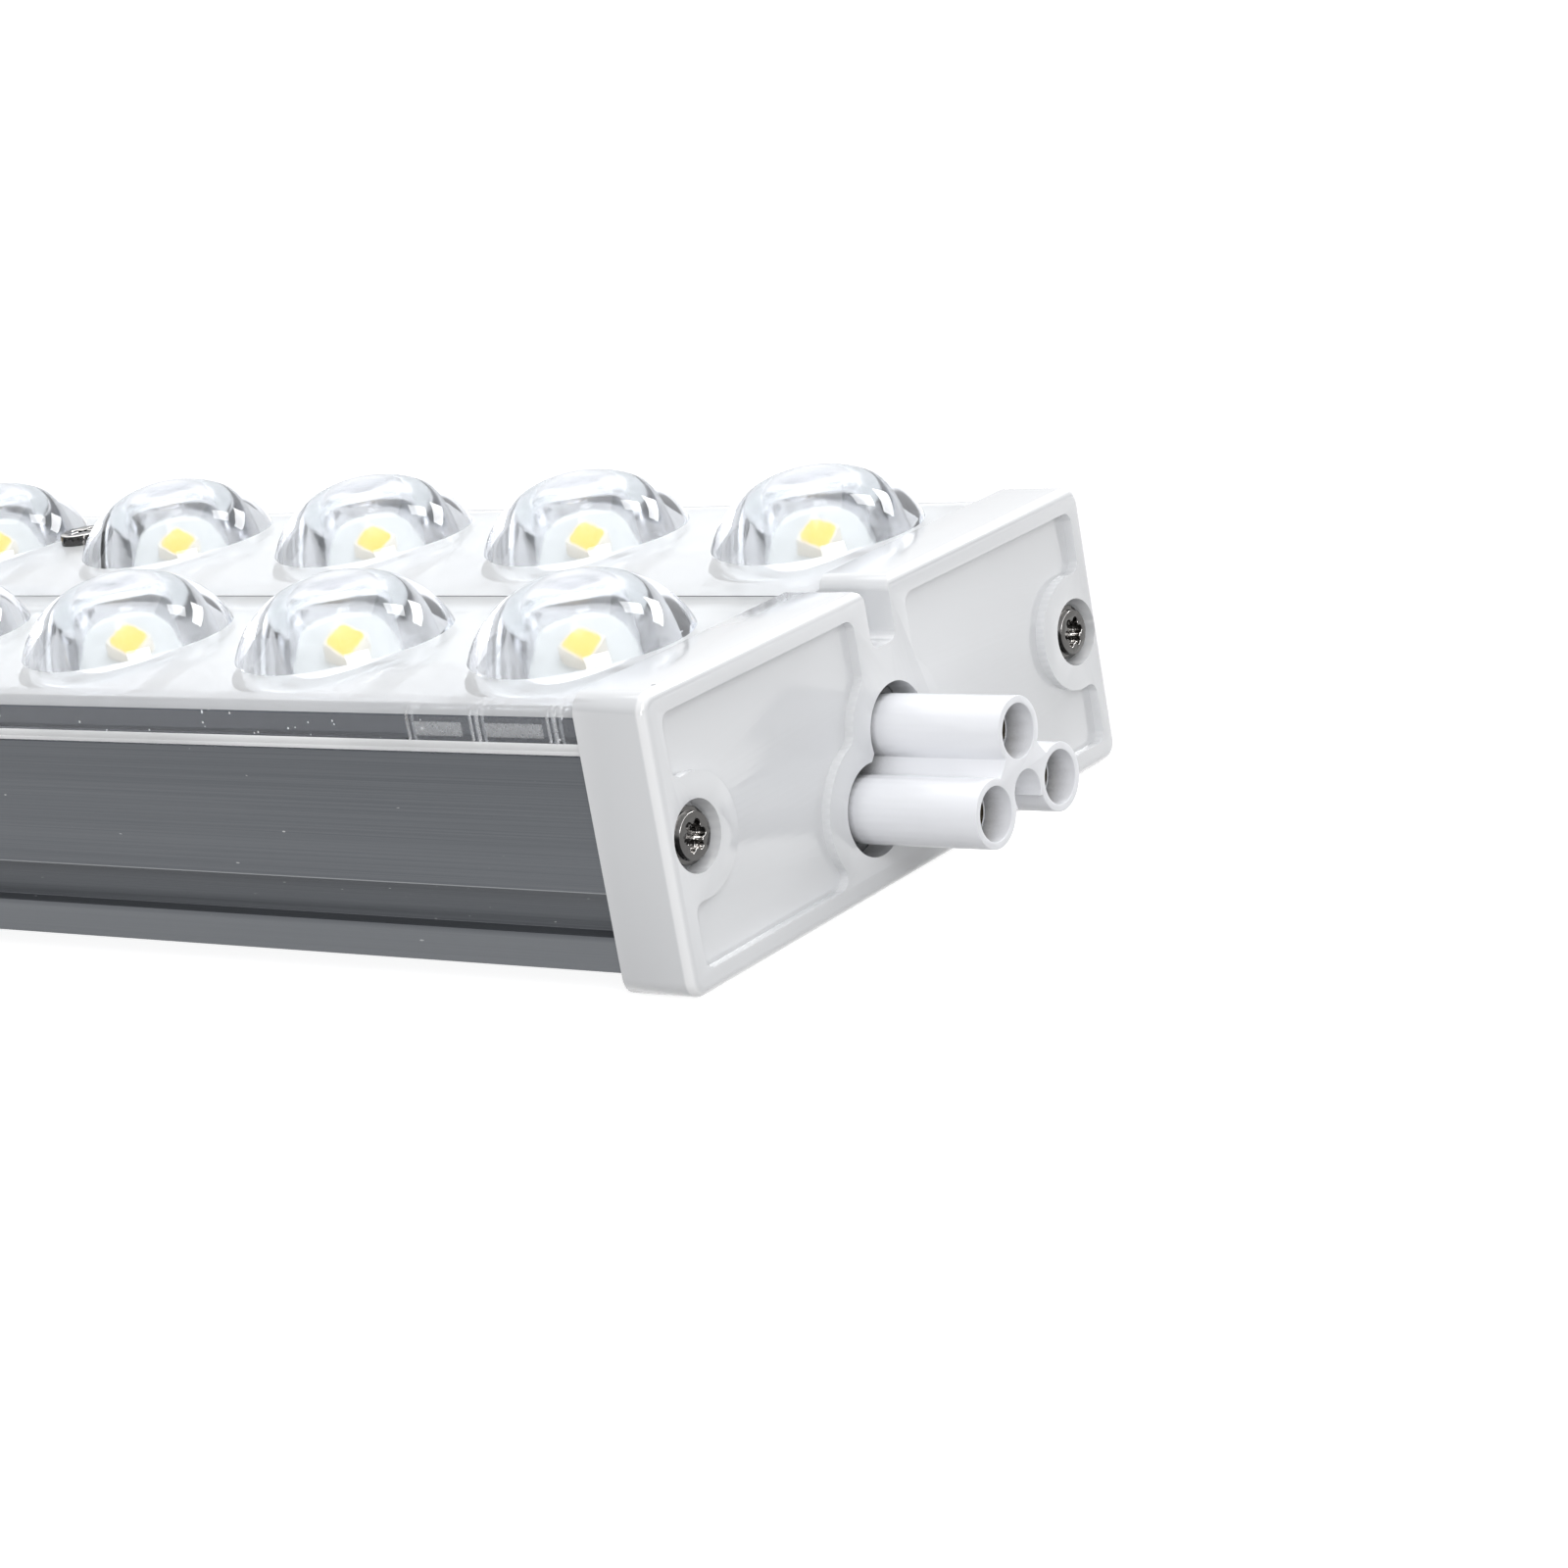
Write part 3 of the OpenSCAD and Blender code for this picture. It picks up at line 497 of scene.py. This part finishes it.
class Strip:
    """Builds one lens strip as a closed mesh, in millimetres, on the far (+y) side."""

    def __init__(self):
        low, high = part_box("lens_strip_far")
        self.x0, self.x1 = low.x / MM, high.x / MM
        self.y0, self.y1 = low.y / MM, high.y / MM
        self.z_lip, self.z_top = low.z / MM, high.z / MM
        self.lenses, self.row = lens_rows()
        self.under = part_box("led_packages_far")[0].z / MM + 0.3
        self.plate = self.under + PLATE_T
        cap_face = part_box("end_cap_outlet")[1].x / MM
        self.ribs = [cap_face - d for d in RIBS_AT]
        self.patches = [[cap_face - d for d in ends] for ends in PATCHES_AT]
        self.bm = bmesh.new()

    def v(self, x, y, z):
        return self.bm.verts.new((x, y, z))

    def band(self, a, b, material=CLEAR):
        """Quads between two rings of vertices."""
        n = len(a)
        for i in range(n):
            j = (i + 1) % n
            self.bm.faces.new((a[i], a[j], b[j], b[i])).material_index = material

    def fan(self, ring, centre, material=CLEAR):
        for i in range(len(ring)):
            face = self.bm.faces.new((ring[i], ring[(i + 1) % len(ring)], centre))
            face.material_index = material

    def squeeze(self, rim, left, right, front_scale):
        """The cell's rim, fitted to a shorter side at the ends of the strip."""
        half = LENS_PITCH / 2
        out = []
        for x, y, angle in rim:
            x = x * (right / half if x > 0 else left / half)
            out.append((x, y * front_scale if y > 0 else y, angle))
        return out

    def ridge(self, y):
        """Height of the plate's soft lengthwise ridge at a distance y from the row."""
        share = min(1.0, abs(y) / RIDGE_REACH)
        return self.plate + RIDGE_H * (1 - share ** 5) ** 1.5

    def foot_tilt(self, angle):
        """The angle down the dome, from its top, at which it meets the ridge."""
        low, high = 0.0, math.pi / 2
        for _ in range(30):
            tilt = (low + high) / 2
            z = self.z_top - DOME_TALL * (1 - math.cos(tilt))
            if z > self.ridge(DOME_WIDE * math.sin(tilt) * math.sin(angle)):
                low = tilt
            else:
                high = tilt
        return low

    def top(self, cx, rim):
        """A dome and the plate round it, out to the rim of the cell."""
        tilts = [self.foot_tilt(a) for _, _, a in rim]
        ring = None
        for k in range(1, DOME_RINGS + 1):
            now = []
            for tilt, (_, _, a) in zip(tilts, rim):
                t = tilt * k / DOME_RINGS
                r, z = DOME_WIDE * math.sin(t), self.z_top - DOME_TALL * (1 - math.cos(t))
                now.append(self.v(cx + r * math.cos(a), self.row + r * math.sin(a), z))
            if ring is None:
                self.fan(now, self.v(cx, self.row, self.z_top))
            else:
                self.band(now, ring)
            ring = now
        foot = [(v.co.x - cx, v.co.y - self.row) for v in ring]
        for k in range(1, PLATE_RINGS + 1):
            t = k / PLATE_RINGS
            now = []
            for (bx, by), (rx, ry, _) in zip(foot, rim):
                x, y = bx + (rx - bx) * t, by + (ry - by) * t
                now.append(self.v(cx + x, self.row + y, self.ridge(y)))
            self.band(now, ring, MILKY)
            ring = now

    def bottom(self, cx, rim):
        """The hollow over an LED and the plate's underside round it."""
        ring = None
        power = 2 / CAVITY_SQUARE
        for k in range(1, CAVITY_RINGS + 1):
            tilt = math.pi / 2 * k / CAVITY_RINGS
            r = CAVITY_R * math.sin(tilt) ** power
            z = self.under + CAVITY_H * max(0.0, math.cos(tilt)) ** power
            now = [self.v(cx + r * math.cos(a), self.row + r * math.sin(a), z) for _, _, a in rim]
            if ring is None:
                self.fan(now[::-1], self.v(cx, self.row, self.under + CAVITY_H), HOLLOW)
            else:
                self.band(ring, now, HOLLOW)
            ring = now
        for t in (0.35, 1.0):
            now = []
            for rx, ry, a in rim:
                bx, by = CAVITY_R * math.cos(a), CAVITY_R * math.sin(a)
                now.append(self.v(cx + bx + (rx - bx) * t, self.row + by + (ry - by) * t, self.under))
            self.band(ring, now)
            ring = now

    def outer_profile(self, out):
        """The strip's outer edge, from the top face round the skirt to the underside, as (y, z)."""
        y, top, low = self.y1, self.plate, self.z_lip
        points = []
        for k in range(1, EDGE_ROWS + 2):
            a = math.pi / 2 * k / (EDGE_ROWS + 1)
            points.append((y - EDGE_R + (EDGE_R + out) * math.sin(a), top - EDGE_R + EDGE_R * math.cos(a)))
        lip = low + LIP_H
        points += [(y + out, top - PATCH_TOP), (y + out, top - PATCH_LOW), (y + out, lip + LIP_FILLET)]
        points += [(y + LIP_OUT * share, lip - drop) for share, drop in LIP_UPPER]
        points += [(y + LIP_OUT * share, low + rise) for share, rise in LIP_LOWER]
        points.append((y, low))
        inner = y - SKIRT_T
        roof = self.under + GROOVE_UP
        points += [(inner, low), (inner, roof), (y - GROOVE_IN, roof)]
        return points

    def rib(self, x):
        """How far the skirt stands out at x: by the height of a rib, or not at all."""
        inside = max(RIB_W / 2 - abs(x - middle) for middle in self.ribs)
        return RIB_OUT * min(1.0, max(0.0, inside / RIB_SLOPE))

    def skirt_material(self, row, x):
        """The material of the row-th lengthwise row of faces from the top edge down, at x."""
        if row < EDGE_ROWS:
            return MILKY
        if LIP_ROWS[0] <= row < LIP_ROWS[1]:
            return LIP
        on_patch = row == PATCH_ROW and any(far < x < near for far, near in self.patches)
        if on_patch or self.rib(x) > 0:
            return RIPPLED
        return SKIRT

    def line(self, y, z):
        """The vertices on a lengthwise edge, in order of x."""
        found = [v for v in self.bm.verts if abs(v.co.y - y) < 1e-4 and abs(v.co.z - z) < 1e-4]
        return sorted(found, key=lambda v: v.co.x)

    def add_stations(self, y, z, stations):
        """Splits a lengthwise edge so that it has a vertex at each station."""
        for x in stations:
            verts = self.line(y, z)
            for a, b in zip(verts, verts[1:]):
                if a.co.x + 1e-3 < x < b.co.x - 1e-3:
                    edge = self.bm.edges.get((a, b))
                    bmesh.utils.edge_split(edge, a, (x - a.co.x) / (b.co.x - a.co.x))
                    break

    def build(self, name, side):
        edge_y, groove_y = self.y1 - EDGE_R, self.y1 - GROOVE_IN
        rim = cell_rim(edge_y - self.row, self.row - self.y0)
        squash = (groove_y - self.row) / (edge_y - self.row)
        half = LENS_PITCH / 2
        for i, cx in enumerate(self.lenses):
            right = self.x1 - cx if i == 0 else half
            left = cx - self.x0 if i == len(self.lenses) - 1 else half
            self.top(cx, self.squeeze(rim, left, right, 1.0))
            self.bottom(cx, self.squeeze(rim, left, right, squash))
        bmesh.ops.remove_doubles(self.bm, verts=self.bm.verts, dist=1e-4)
        for vert in self.bm.verts:
            if abs(vert.co.y - edge_y) < 1e-4 and vert.co.z > self.plate - 0.01:
                vert.co.z = self.plate
        offsets = (-RIB_W / 2, RIB_SLOPE - RIB_W / 2, RIB_W / 2 - RIB_SLOPE, RIB_W / 2)
        stations = [x for ends in self.patches for x in ends] + [x + d for x in self.ribs for d in offsets]
        self.add_stations(edge_y, self.plate, stations)
        self.add_stations(groove_y, self.under, stations)
        first, last = self.line(edge_y, self.plate), self.line(groove_y, self.under)
        rows = [first]
        shapes = [self.outer_profile(self.rib(v.co.x)) for v in first]
        for k in range(len(shapes[0])):
            rows.append([self.v(v.co.x, *shape[k]) for v, shape in zip(first, shapes)])
        rows.append(last)
        for k in range(len(rows) - 1):
            for i in range(len(first) - 1):
                face = self.bm.faces.new((rows[k][i], rows[k][i + 1], rows[k + 1][i + 1], rows[k + 1][i]))
                face.material_index = self.skirt_material(k, (rows[k][i].co.x + rows[k][i + 1].co.x) / 2)
        # The seam walls get the near black painted shade of the gap between the strips.
        seam_top, seam_low = self.line(self.y0, self.plate), self.line(self.y0, self.under)
        for i in range(len(seam_top) - 1):
            wall = self.bm.faces.new((seam_top[i + 1], seam_top[i], seam_low[i], seam_low[i + 1]))
            wall.material_index = SEAM_SHADE
        open_edges = [e for e in self.bm.edges if e.is_boundary]
        bmesh.ops.holes_fill(self.bm, edges=open_edges, sides=0)
        bmesh.ops.triangulate(self.bm, faces=[f for f in self.bm.faces if len(f.verts) > 4])
        bmesh.ops.recalc_face_normals(self.bm, faces=self.bm.faces)
        bmesh.ops.scale(self.bm, vec=(MM, side * MM, MM), verts=self.bm.verts)
        if side < 0:
            bmesh.ops.reverse_faces(self.bm, faces=self.bm.faces)
        plastics = [finishes["clear_lens"], rippled, milky, lip_frost_and_glint, seam_shade, hollow, skirt]
        return add_mesh(name, self.bm, plastics)


def add_mesh(name, bm, materials):
    """Turns a bmesh into a piece of the light bar."""
    mesh = bpy.data.meshes.new(name)
    bm.to_mesh(mesh)
    bm.free()
    for polygon in mesh.polygons:
        polygon.use_smooth = True
    mesh.set_sharp_from_angle(angle=CREASE)
    for material in materials:
        mesh.materials.append(material)
    piece = bpy.data.objects.new(name, mesh)
    bpy.context.scene.collection.objects.link(piece)
    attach(piece, BODY)
    return piece


for side_name, side in (("far", 1), ("near", -1)):
    strip = Strip().build("clear_strip_" + side_name, side)
    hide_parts("lens_strip_" + side_name)


# ---- Studio ----

FLOOR_GLOW = 0.85
FLOOR_BOUNCE = 0.32
LIGHT_LOW, LIGHT_HIGH = 0.16, 0.72
MIRROR_LOW, MIRROR_HIGH = 0.86, 1.4
# Directions that look dark in glass and metal: axis, cosine where the shade starts, cosine where it is
# full, depth.
DARK_PANELS = [
    ((0.75, -0.62, 0.22), 0.8, 0.95, 0.5),
    ((-0.905, -0.127, 0.38), 0.965, 0.985, 0.85),
    ((0.85, 0.5, 0.12), 0.9, 0.98, 0.8),
]
# Where the camera is, which way its right and up point, and its focal length in millimetres.
CAMERA_AT = (0.33813, -0.25129, 0.09533)
CAMERA_RIGHT = (0.79671, 0.58064, -0.16765)
CAMERA_UP = (-0.02762, 0.31209, 0.94965)
CAMERA_LENS = 95.33
# What every softbox near the socket end points at.
SOCKET_END = (0.14, 0.0, 0.01)


def make_floor():
    bm = bmesh.new()
    bmesh.ops.create_grid(bm, x_segments=8, y_segments=8, size=6.0)
    mesh = bpy.data.meshes.new("floor")
    bm.to_mesh(mesh)
    bm.free()
    floor = bpy.data.objects.new("floor", mesh)
    floor.location = (0, 0, cad_box[0].z - 0.0002)
    bpy.context.scene.collection.objects.link(floor)
    material, g = new_material("floor_paper")
    tone = g.tint(g.noise(3.0), (0.56, 0.56, 0.56), (0.58, 0.58, 0.58))
    paper = g.add("BsdfDiffuse", {"Color": tone})
    glow = g.add("Emission", {"Color": (1.0, 1.0, 1.0, 1.0), "Strength": FLOOR_GLOW})
    bright = g.add("AddShader", {0: paper, 1: glow})
    dull = g.add("BsdfDiffuse", {"Color": (FLOOR_BOUNCE, FLOOR_BOUNCE, FLOOR_BOUNCE, 1.0)})
    lighting = g.add("LightPath", out="Is Diffuse Ray")
    g.output(g.add("MixShader", {0: lighting, 1: bright, 2: dull}))
    mesh.materials.append(material)


def make_world():
    """A bright tent. What lights the surfaces is softer than what is mirrored in glass and metal."""
    world = bpy.data.worlds.new("studio")
    bpy.context.scene.world = world
    world.use_nodes = True
    g = Graph(world.node_tree)
    where = g.add("TexCoord", out="Generated")
    up = g.add("SeparateXYZ", {0: where}, out="Z")
    light = g.ramp(up, 0.0, 0.8, LIGHT_LOW, LIGHT_HIGH)
    mirrored = g.ramp(up, 0.05, 0.6, MIRROR_LOW, MIRROR_HIGH)
    for towards, wide, core, depth in DARK_PANELS:
        axis = Vector(towards).normalized()
        facing = g.add("VectorMath", {0: where, 1: axis}, out="Value", operation="DOT_PRODUCT")
        mirrored = g.math("MULTIPLY", mirrored, g.ramp(facing, wide, core, 1.0, 1.0 - depth))
    lighting = g.add("LightPath", out="Is Diffuse Ray")
    seen = g.add("LightPath", out="Is Camera Ray")
    level = g.add("Mix", {0: lighting, 2: mirrored, 3: light})
    level = g.add("Mix", {0: seen, 2: level, 3: 1.05})
    tent = g.add("Background", {"Color": (0.98, 0.987, 1.0, 1.0), "Strength": level})
    end = world.node_tree.nodes.new("ShaderNodeOutputWorld")
    world.node_tree.links.new(tent, end.inputs["Surface"])


def softbox(name, location, target, size, power):
    light = bpy.data.lights.new(name, "AREA")
    light.shape = "RECTANGLE"
    light.size, light.size_y = size
    light.energy = power
    lamp = bpy.data.objects.new(name, light)
    lamp.location = location
    aim = Vector(target) - Vector(location)
    lamp.rotation_mode = "QUATERNION"
    lamp.rotation_quaternion = aim.to_track_quat("-Z", "Y")
    bpy.context.scene.collection.objects.link(lamp)


def make_camera():
    """The view from beyond the socket end, low over the near side."""
    data = bpy.data.cameras.new("camera")
    data.lens = CAMERA_LENS
    data.sensor_width = 36.0
    data.clip_start, data.clip_end = 0.01, 50.0
    camera = bpy.data.objects.new("camera", data)
    right, up = Vector(CAMERA_RIGHT), Vector(CAMERA_UP)
    back = right.cross(up)
    turn = Matrix((right, up, back)).transposed()
    camera.matrix_world = Matrix.Translation(Vector(CAMERA_AT)) @ turn.to_4x4()
    bpy.context.scene.collection.objects.link(camera)
    bpy.context.scene.camera = camera


make_floor()
make_world()
softbox("softbox_top", (-0.1, 0.15, 1.0), (0.05, 0.0, 0.0), (0.9, 0.7), 2.6)
softbox("softbox_key", (0.37, 0.57, 0.8), SOCKET_END, (0.24, 0.24), 1.2)
softbox("softbox_rim", (0.39, 0.775, 0.57), SOCKET_END, (0.5, 0.16), 2.6)
softbox("softbox_front", (0.8, -0.5, 0.5), SOCKET_END, (0.4, 0.4), 3.0)
softbox("softbox_low", (0.73, -0.8, 0.12), SOCKET_END, (0.1, 0.36), 2.0)
make_camera()
view = bpy.context.scene.view_settings
view.view_transform = "Standard"
view.look = "None"
bpy.context.scene.cycles.use_denoising = True
bpy.context.scene.cycles.sample_clamp_indirect = 4.0
